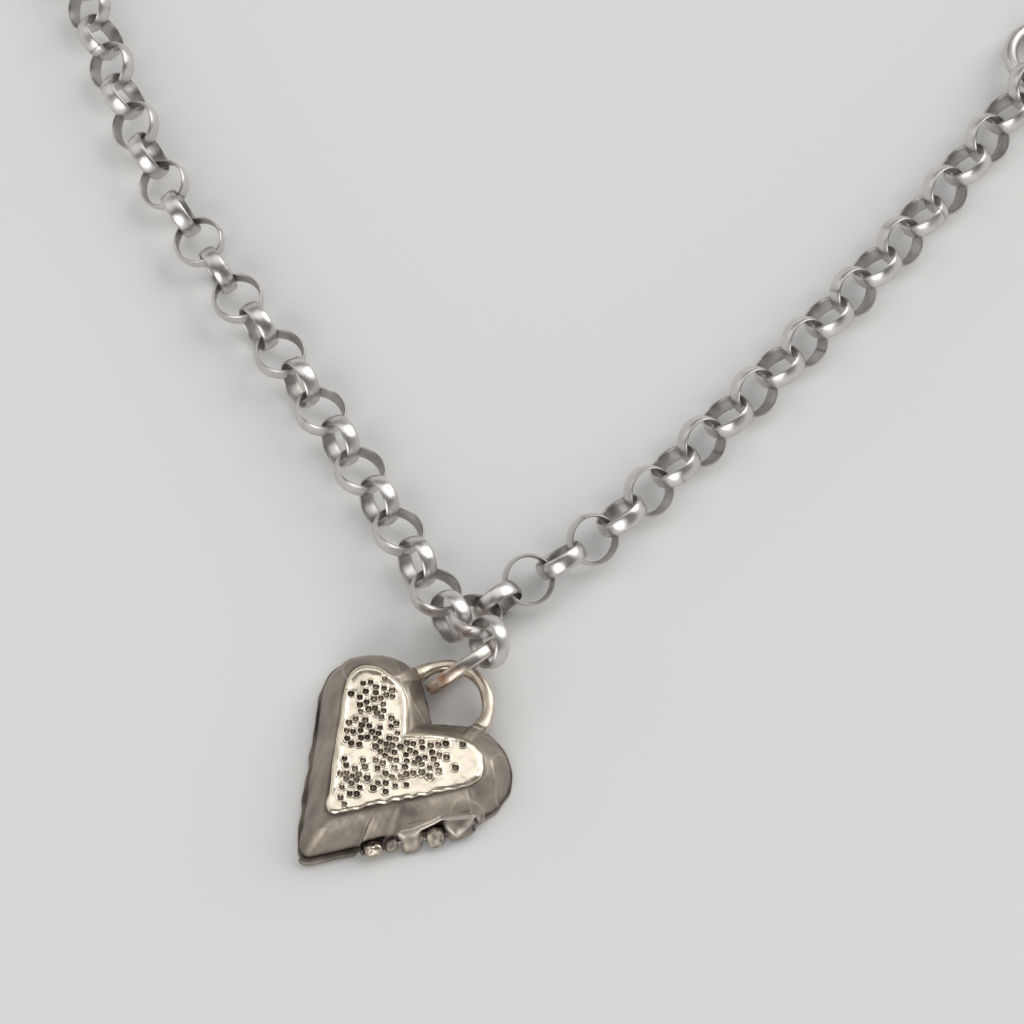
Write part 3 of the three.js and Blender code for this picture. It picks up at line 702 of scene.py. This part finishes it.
def pitPlaces(edgeLine):
    # random points round the drifts, kept apart from each other and inside the edge
    rng = np.random.default_rng(41)
    edgeTurn = np.arctan2(edgeLine[:, 1], edgeLine[:, 0])
    order = np.argsort(edgeTurn)
    edgeReach = np.hypot(edgeLine[:, 0], edgeLine[:, 1])
    chosen = []
    for attempt in range(pit["tries"]):
        x, y, spread = pitDrifts[attempt % len(pitDrifts)]
        spot = np.array([x, y]) + rng.normal(size=2) * spread
        reach = np.interp(math.atan2(spot[1], spot[0]), edgeTurn[order], edgeReach[order], period=tau)
        clear = all(np.hypot(*(spot - other)) > pit["spacing"] for other in chosen)
        if clear and np.hypot(*spot) < reach - pit["margin"]:
            chosen.append(spot)
        if len(chosen) == pit["count"]:
            break
    return np.array(chosen)


def pittedFace():
    # rows of one outline: out under the face, up its side, and in over its top, shrunk evenly to the middle
    below, side = face["bottomRows"], face["sideRows"]
    shares = np.concatenate([np.linspace(0, 0.96, below), np.ones(side),
                             1 - np.linspace(0.006, 1, face["rows"])])
    sideHeights = np.linspace(face["low"], face["edge"] - face["sideDrop"], side)
    heights = np.concatenate([np.full(below, face["low"]), sideHeights, np.full(face["rows"], face["edge"])])
    points = heartGrid(np.full(len(shares), face["inset"]), heights, shares)
    share = shares[:, None]
    edgeLine = heartLine([face["inset"]])[0]
    # the edge above the hinge is scalloped, the rest only wavers
    flankSide = ramp(edgeLine[:, 0] - edgeLine[:, 1] / 2, *face["flankFrom"])
    waver = face["waver"] * ripple(onFloor(edgeLine), face["waverWave"], 21)
    scallop = face["scallop"] * flankSide * ripple(onFloor(edgeLine), face["scallopWave"], 26)
    outwards = waver + scallop - face["scallopIn"] + lobeWiden(edgeLine)
    points[..., :2] += outlineNormals(edgeLine) * outwards[:, None] * share[..., None] ** 6
    top = 1.0 * (np.arange(len(shares)) >= below + side)[:, None]
    fromEdge = (1 - share) * np.hypot(edgeLine[:, 0], edgeLine[:, 1]) * face["slant"]
    height = face["crown"] * (1 - share ** 2) - face["edgeDrop"] * bell(fromEdge, 0, face["edgeWidth"])
    bead = face["bead"] * bell(fromEdge, face["beadIn"], face["beadWidth"])
    height = height + bead * (1 - face["beadWorn"] * flankSide)
    dents = face["dent"] * ripple(points, face["dentWave"], 22)
    dents = dents + face["fineDent"] * ripple(points, face["fineWave"], 23)
    height = height + dents * ramp(fromEdge, *face["dentFrom"])
    # a smooth pad with soft facets on the right lobe
    pad = face["pad"] * (1 - np.abs(ripple(points, face["padWave"], 24)))
    height = height + pad * ramp(points[..., 0], *face["padFrom"]) * ramp(fromEdge, *face["padIn"])
    dark = np.zeros_like(height)
    rng = np.random.default_rng(7)
    places = pitPlaces(edgeLine)
    for spot in places:
        away = awayFrom(points, spot) / (pit["radius"] * rng.uniform(*pit["sizes"]))
        height = height - pit["depth"] * rng.uniform(*pit["depths"]) * ramp(away, *pit["wall"])
        height = height + pit["rim"] * bell(away, pit["rimAt"], pit["rimWidth"])
        dark = np.maximum(dark, ramp(away, *pit["dark"]) * rng.uniform(*pit["darks"]))
    points[..., 2] += height * top
    patches = face["patchGrime"] * hollows(points, face["patchWave"], 25)
    # the side of the raised face is darkened: a painted shadow under its edge
    grimeAndShade = face["grimeAndShade"] + (face["pitGrime"] * dark + patches) * top + face["sideShadow"] * (1 - top)
    addPiece("pitted-face", points, "polishedFace", "front_cover", ["face_panel"],
             grimeAndShade=grimeAndShade)
    return len(places)


print("face:", pittedFace(), "pits")


# Back plate: flat back, worn rim, and the lip that the cover closes over
back = {"thickness": 0.9, "bevel": 0.22, "lipOuter": 0.85, "lipInner": 1.35, "lipTop": 1.8, "lipRound": 0.1,
        "floorInset": 1.4, "floorRows": 12, "bottomRows": 6, "insideRow": 14, "rimReach": 0.6, "proud": 0.10,
        "waver": 0.12, "waverWave": 2.2, "leftProud": 0.28, "leftFrom": (-0.5, -2), "leftTo": (6, 3),
        "tipProud": 0.4, "tipTo": (4.9, 4.2), "relief": 0.78, "reliefFrom": (7.0, 7.3),
        "reliefTo": (17.2, 16.9), "grimeAndShade": 0.18, "seamGrime": 0.4, "seamWidth": 0.12, "insideGrime": 0.12,
        "patchGrime": 0.25, "patchWave": 3.4}


def backPlate():
    # rows of outlines: out under the plate, round its edge, over the lip, and in along the floor
    t, lipTop, lipRound = back["thickness"], back["lipTop"], back["lipRound"]
    lipOuter, lipInner = back["lipOuter"], back["lipInner"]
    # inset and height of the edge, then of the lip
    edge = ((0.08, 0.06), (0, back["bevel"]), (0, t / 2), (0, t - 0.12), (0.05, t - 0.03), (0.12, t),
            (0.5, t), (0.8, t))
    lip = ((lipOuter, t), (lipOuter, lipTop - lipRound), (lipOuter + lipRound, lipTop),
           (lipInner - lipRound, lipTop), (lipInner, lipTop - lipRound), (lipInner, t))
    section = np.array(edge + lip)
    bottom, floor = back["bottomRows"], back["floorRows"]
    insets = np.concatenate([np.full(bottom, back["bevel"]), section[:, 0],
                             np.full(floor, back["floorInset"])])
    heights = np.concatenate([np.zeros(bottom), section[:, 1], np.full(floor, t)])
    shares = np.concatenate([np.linspace(0, 1, bottom), np.ones(len(section)), np.linspace(0.99, 0, floor)])
    points = heartGrid(insets, heights, shares)
    inset = insets[:, None]
    waver = back["proud"] + back["waver"] * ripple(onFloor(rimLine), back["waverWave"], 71)
    onLeft = ramp(rimLine[:, 0], *back["leftFrom"]) * ramp(rimLine[:, 1], *back["leftTo"])
    waver = waver + back["leftProud"] * onLeft
    waver = waver + back["tipProud"] * onFlank * ramp(rimAlong, *back["tipTo"])
    # cut back where the cover's knuckles and petals swing past
    relief = back["relief"] * onFlank * stretch(rimAlong, back["reliefFrom"], back["reliefTo"])
    rimShare = np.clip(1 - inset / back["rimReach"], 0, 1) * (shares[:, None] > 0.98)
    shift = waver * rimShare - np.maximum(relief - inset, 0) * (rimShare > 0)
    points[..., :2] += outlineNormals(rimLine) * shift[..., None]
    inside = (np.arange(len(insets)) >= back["insideRow"])[:, None]
    grimeAndShade = back["grimeAndShade"] + back["seamGrime"] * bell(points[..., 2], t, back["seamWidth"])
    grimeAndShade = grimeAndShade + back["insideGrime"] * inside + back["patchGrime"] * hollows(points, back["patchWave"], 72)
    addPiece("heart-back", points, "satinHeart", "locket_back", ["back_plate"], grimeAndShade=grimeAndShade)


backPlate()

bezel = {"outer": 1.93, "width": 1.1, "tall": 0.5, "around": 28, "sidePower": 0.7, "topPower": 0.6,
         "beadPitch": 0.62, "beadDepth": 0.13, "beadFrom": (1.0, 1.35), "grimeAndShade": 0.12, "gapGrime": 0.5}


def retainingFrame():
    # half-round heart bead on the plate, its crest cut into small beads
    section = roundTurn(bezel["around"])
    side = boxy(np.cos(section), bezel["sidePower"])
    insets = bezel["outer"] + bezel["width"] / 2 * (1 - side)
    rise = np.clip(np.sin(section), 0, 1) ** bezel["topPower"]
    points = heartGrid(insets, back["thickness"] + bezel["tall"] * rise)
    step = np.linalg.norm(np.diff(points[0], axis=0, append=points[0, :1]), axis=-1)
    gap = 1 - np.abs(np.sin(np.cumsum(step) * math.pi / bezel["beadPitch"]))
    points[..., 2] -= bezel["beadDepth"] * gap * ramp(points[..., 2], *bezel["beadFrom"])
    addPiece("picture-frame", points, "brightLink", "locket_back",
             ["retaining_frame"], closed=True, grimeAndShade=bezel["grimeAndShade"] + bezel["gapGrime"] * gap)


retainingFrame()

tongue = {"size": (0.35, 3.2, 1.5), "boxPower": 0.3, "rows": 21, "around": 40, "grimeAndShade": 0.15}


def catchTongue():
    # rounded block: both directions of a sphere raised to a low power, turned to lie along the left flank
    lower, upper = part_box("catch_tongue")
    centre = np.array((lower + upper) / 2) / mm
    polar = np.linspace(-math.pi / 2, math.pi / 2, tongue["rows"])[:, None]
    turn = roundTurn(tongue["around"])[None, :]

    def soft(v):
        # to the block's own power
        return boxy(v, tongue["boxPower"])

    local = np.stack([soft(np.cos(polar)) * soft(np.cos(turn)), soft(np.cos(polar)) * soft(np.sin(turn)),
                      soft(np.sin(polar)) + 0 * turn], -1) * np.array(tongue["size"]) / 2
    c, s = math.cos(flankAngle), math.sin(flankAngle)
    points = local @ np.array([[c, s, 0], [-s, c, 0], [0, 0, 1]]) + centre
    points[..., 2] = np.maximum(points[..., 2], back["thickness"])
    addPiece("catch-tongue", points, "brightLink", "locket_back", ["catch_tongue"],
             grimeAndShade=tongue["grimeAndShade"])


catchTongue()
print("back plate, frame and catch")


# Hanging loop: bent wire with flattened top and solder at its feet
loop = {"radius": 4.3, "wire": 0.6, "centreY": 8.6, "height": 1.9, "foot": 0.98, "rows": 120, "around": 32,
        "widePower": 0.85, "tallPower": 0.8, "solder": 0.24, "solderAt": 1.6, "solderWidth": 0.9,
        "swell": 0.05, "swellFrom": 0.55, "swellFull": 0.8, "nose": 0.4, "dent": 0.05, "dentWave": 2.2,
        "dentFrom": 0.5, "grimeAndShade": 0.10, "footGrime": 0.5, "footReach": 0.5, "patchGrime": 0.25,
        "patchWave": 1.9, "underShade": 0.3}


def hangingLoop():
    # a boxy wire carried along a half circle with a straight foot at each end
    arc = math.pi * loop["radius"]
    along = np.linspace(0, arc + 2 * loop["foot"], loop["rows"])
    foot = np.maximum(np.maximum(loop["foot"] - along, along - loop["foot"] - arc), 0)
    angle = math.pi - np.clip((along - loop["foot"]) / loop["radius"], 0, math.pi)
    out = np.stack([np.cos(angle), np.sin(angle), 0 * angle], -1)
    path = loop["radius"] * out
    path[:, 1] += loop["centreY"] - foot
    path[:, 2] = loop["height"]
    turn = roundTurn(loop["around"])[None, :]
    fromEnd = np.minimum(along, along[::-1])[:, None]
    size = loop["wire"] + loop["solder"] * bell(fromEnd, loop["solderAt"], loop["solderWidth"])
    size = size + loop["swell"] * ramp(along / arc, loop["swellFrom"], loop["swellFull"])[:, None]
    size = size * nose(fromEnd / loop["nose"])
    wide = boxy(np.cos(turn), loop["widePower"])
    tall = boxy(np.sin(turn), loop["tallPower"])
    section = wide[..., None] * out[:, None] + tall[..., None] * upward
    points = path[:, None] + size[..., None] * section
    dents = loop["dent"] * ripple(points, loop["dentWave"], 81) * np.clip(fromEnd / loop["dentFrom"], 0, 1)
    points = points + dents[..., None] * section
    grimeAndShade = loop["grimeAndShade"] + loop["footGrime"] * bell(fromEnd, loop["footReach"], loop["footReach"])
    grimeAndShade = grimeAndShade + loop["patchGrime"] * hollows(points, loop["patchWave"], 82)
    # the underside of the wire is darkened: painted shade
    grimeAndShade = grimeAndShade + loop["underShade"] * (tall < -0.5)
    addPiece("hanging-loop", points, "wireLoop", "locket_back", ["hanging_loop"],
             grimeAndShade=grimeAndShade)


hangingLoop()


# Toggle: a ring at the right end, and at the left a bar with an eye
toggle = {"ringMid": 4.7, "ringWire": 0.78, "eyeMid": 2.8, "eyeWire": 0.39, "eyeGap": 0.9, "ringAround": 96,
          "ringAcross": 28, "dent": 0.02, "dentWave": 2.5, "grimeAndShade": 0.05, "boreShade": 0.3}
bar = {"length": 16.0, "radius": 0.72, "bead": 0.16, "beadIn": 0.75, "beadWidth": 0.55, "belly": 0.06,
       "bellyWidth": 1.2, "nose": 0.8, "groove": 0.07, "grooveIn": 1.75, "grooveWidth": 0.12, "rows": 140,
       "around": 40, "tipsBeyond": 5, "grimeAndShade": 0.06, "grooveGrime": 0.6, "grooveStain": 0.14}


def roundRing(name, place, mid, wire, body, stands, seed):
    # a round wire carried round the ring
    turn, out, edge = ringTurns(toggle["ringAround"], toggle["ringAcross"])
    plain = ringPoints(place, turn, mid + wire * out, wire * edge)
    dents = toggle["dent"] * ripple(plain, toggle["dentWave"], seed)
    points = ringPoints(place, turn, mid + (wire + dents) * out, wire * edge)
    # the bore is darkened: painted shade
    grimeAndShade = toggle["grimeAndShade"] + toggle["boreShade"] * np.clip(-out, 0, 1)
    addPiece(name, points, "brightLink", body, stands, closed=True, grimeAndShade=grimeAndShade)


roundRing("toggle-ring", ringFrame("toggle_ring"), toggle["ringMid"], toggle["ringWire"], "toggle_ring",
          ["toggle_ring"], 91)


def toggleBar():
    # slim bar swelling to a bead at each end, closed by half-round noses
    points = nodePoints("toggle_bar")
    middle = points.mean(0)
    barWay, _, axis = np.linalg.svd(points - middle, full_matrices=False)[2]
    chainWay = np.cross(axis, barWay)
    tips = points[np.abs((points - middle) @ barWay) > bar["tipsBeyond"]]
    if (tips.mean(0) - middle) @ chainWay < 0:
        chainWay = -chainWay
    barMiddle = (tips.min(0) + tips.max(0)) / 2
    eyeMiddle = barMiddle - chainWay * (toggle["eyeMid"] + toggle["eyeGap"])
    half = bar["length"] / 2
    turn = roundTurn(bar["around"])[None, :]
    along = half * np.linspace(-1, 1, bar["rows"])[:, None]
    fromEnd = half - np.abs(along)
    radius = bar["radius"] + bar["bead"] * bell(fromEnd, bar["beadIn"], bar["beadWidth"])
    radius = (radius + bar["belly"] * bell(along, 0, bar["bellyWidth"])) * nose(fromEnd / bar["nose"])
    radius = radius - bar["groove"] * bell(fromEnd, bar["grooveIn"], bar["grooveWidth"])
    radius = np.maximum(radius, 0) + 0 * turn
    ring = np.cos(turn)[..., None] * chainWay + np.sin(turn)[..., None] * axis
    surface = barMiddle + (along + 0 * turn)[..., None] * barWay + radius[..., None] * ring
    grimeAndShade = bar["grimeAndShade"] + bar["grooveGrime"] * bell(fromEnd, bar["grooveIn"], bar["grooveStain"])
    addPiece("toggle-bar", surface, "brightLink", "toggle_bar", ["toggle_bar"],
             grimeAndShade=grimeAndShade)
    place = (eyeMiddle, axis, chainWay, np.cross(axis, chainWay))
    roundRing("toggle-eye", place, toggle["eyeMid"], toggle["eyeWire"], "toggle_bar", (), 92)


toggleBar()
print("loop and toggle")


def aim(obj, right, up, backward, where):
    # the object's three axes and its place, as one matrix
    axes = np.column_stack([right, up, backward, where])
    obj.matrix_world = Matrix(np.vstack([axes, (0, 0, 0, 1)]).tolist())


# Studio: pale floor, three soft lamps, and a sky that is pale at the horizon and round the key direction
studio = {"floor": (0.80, 0.79, 0.775), "floorRough": 0.85, "floorSize": 12.0, "floorDrop": 0.00003,
          "horizon": 0.80, "zenith": 0.14, "skyRange": (0.0, 0.5), "keyWay": (-0.283, 0.314, 0.906),
          "keyRange": (0.85, 0.97), "keyGlow": 1.05, "lampSpread": 48.0, "lampSkew": (0.1, 1, 0.05),
          "lamps": (("left", (-0.56, -0.26, 0.50), 0.4), ("far", (0.16, 0.66, 0.52), 1.25),
                    ("near", (0.34, -0.58, 0.36), 1.25))}


def buildFloor():
    # one square just under the part
    half = studio["floorSize"] / 2
    mesh = bpy.data.meshes.new("floor")
    corners = [(-half, -half, 0), (half, -half, 0), (half, half, 0), (-half, half, 0)]
    mesh.from_pydata(corners, [], [(0, 1, 2, 3)])
    paint = bpy.data.materials.new("palePaper")
    paint.use_nodes = True
    shader = paint.node_tree.nodes["Principled BSDF"]
    setInputs(shader, {"Base Color": (*studio["floor"], 1), "Roughness": studio["floorRough"]})
    mesh.materials.append(paint)
    floor = addObject("floor", mesh)
    floor.location.z = -studio["floorDrop"]


def buildLamps():
    # wide suns, each aimed from its place at the origin
    for name, where, power in studio["lamps"]:
        lamp = bpy.data.lights.new(name, "SUN")
        lamp.angle = math.radians(studio["lampSpread"])
        lamp.energy = power
        backward = unit(np.array(where))
        side = unit(np.cross(studio["lampSkew"], backward))
        aim(addObject(name, lamp), side, np.cross(backward, side), backward, where)


def buildSky():
    # brightness by height, plus a glow by the cosine from the key direction
    world = bpy.data.worlds.new("studioSky")
    scene.world = world
    world.use_nodes = True
    nodes, wires = world.node_tree.nodes, world.node_tree.links
    way = nodes.new("ShaderNodeTexCoord").outputs["Generated"]
    split, towards = nodes.new("ShaderNodeSeparateXYZ"), nodes.new("ShaderNodeVectorMath")
    towards.operation = "DOT_PRODUCT"
    towards.inputs[1].default_value = studio["keyWay"]
    wires.new(way, split.inputs["Vector"])
    wires.new(way, towards.inputs[0])

    def spread(value, reach, low, high):
        # smooth step from low to high over the reach
        fall = nodes.new("ShaderNodeMapRange")
        fall.interpolation_type = "SMOOTHSTEP"
        for socket, number in zip(fall.inputs[1:5], (*reach, low, high)):
            socket.default_value = number
        wires.new(value, fall.inputs["Value"])
        return fall.outputs["Result"]

    glow = nodes.new("ShaderNodeMath")
    sky = spread(split.outputs["Z"], studio["skyRange"], studio["horizon"], studio["zenith"])
    wires.new(sky, glow.inputs[0])
    wires.new(spread(towards.outputs["Value"], studio["keyRange"], 0, studio["keyGlow"]), glow.inputs[1])
    wires.new(glow.outputs[0], nodes["Background"].inputs["Color"])


buildFloor()
buildLamps()
buildSky()

# Camera: 42 degrees round, 65 above the floor, framed as the photograph
view = {"turn": 42.0, "tilt": 65.0, "distance": 400.0, "field": 14.6, "originAt": (388, 772), "image": 1024,
        "sensor": 36.0, "clip": (0.01, 50)}


def placeCamera():
    # stands back along the ray through the picture point where the part's origin lies
    turn, tilt = math.radians(view["turn"]), math.radians(view["tilt"])
    right = np.array([math.cos(turn), math.sin(turn), 0])
    ahead = np.array([-math.sin(turn) * math.cos(tilt), math.cos(turn) * math.cos(tilt), -math.sin(tilt)])
    up = np.cross(right, ahead)
    half = view["image"] / 2
    halfField = math.tan(math.radians(view["field"] / 2))
    focal = half / halfField
    ray = ahead + right * (view["originAt"][0] - half) / focal + up * (half - view["originAt"][1]) / focal
    camera = bpy.data.cameras.new("camera")
    camera.sensor_width = view["sensor"]
    camera.lens = view["sensor"] / 2 / halfField
    camera.clip_start, camera.clip_end = view["clip"]
    obj = addObject("camera", camera)
    aim(obj, right, up, -ahead, -view["distance"] * ray * mm)
    scene.camera = obj


placeCamera()
scene.view_settings.view_transform = "Standard"

print("studio and camera")
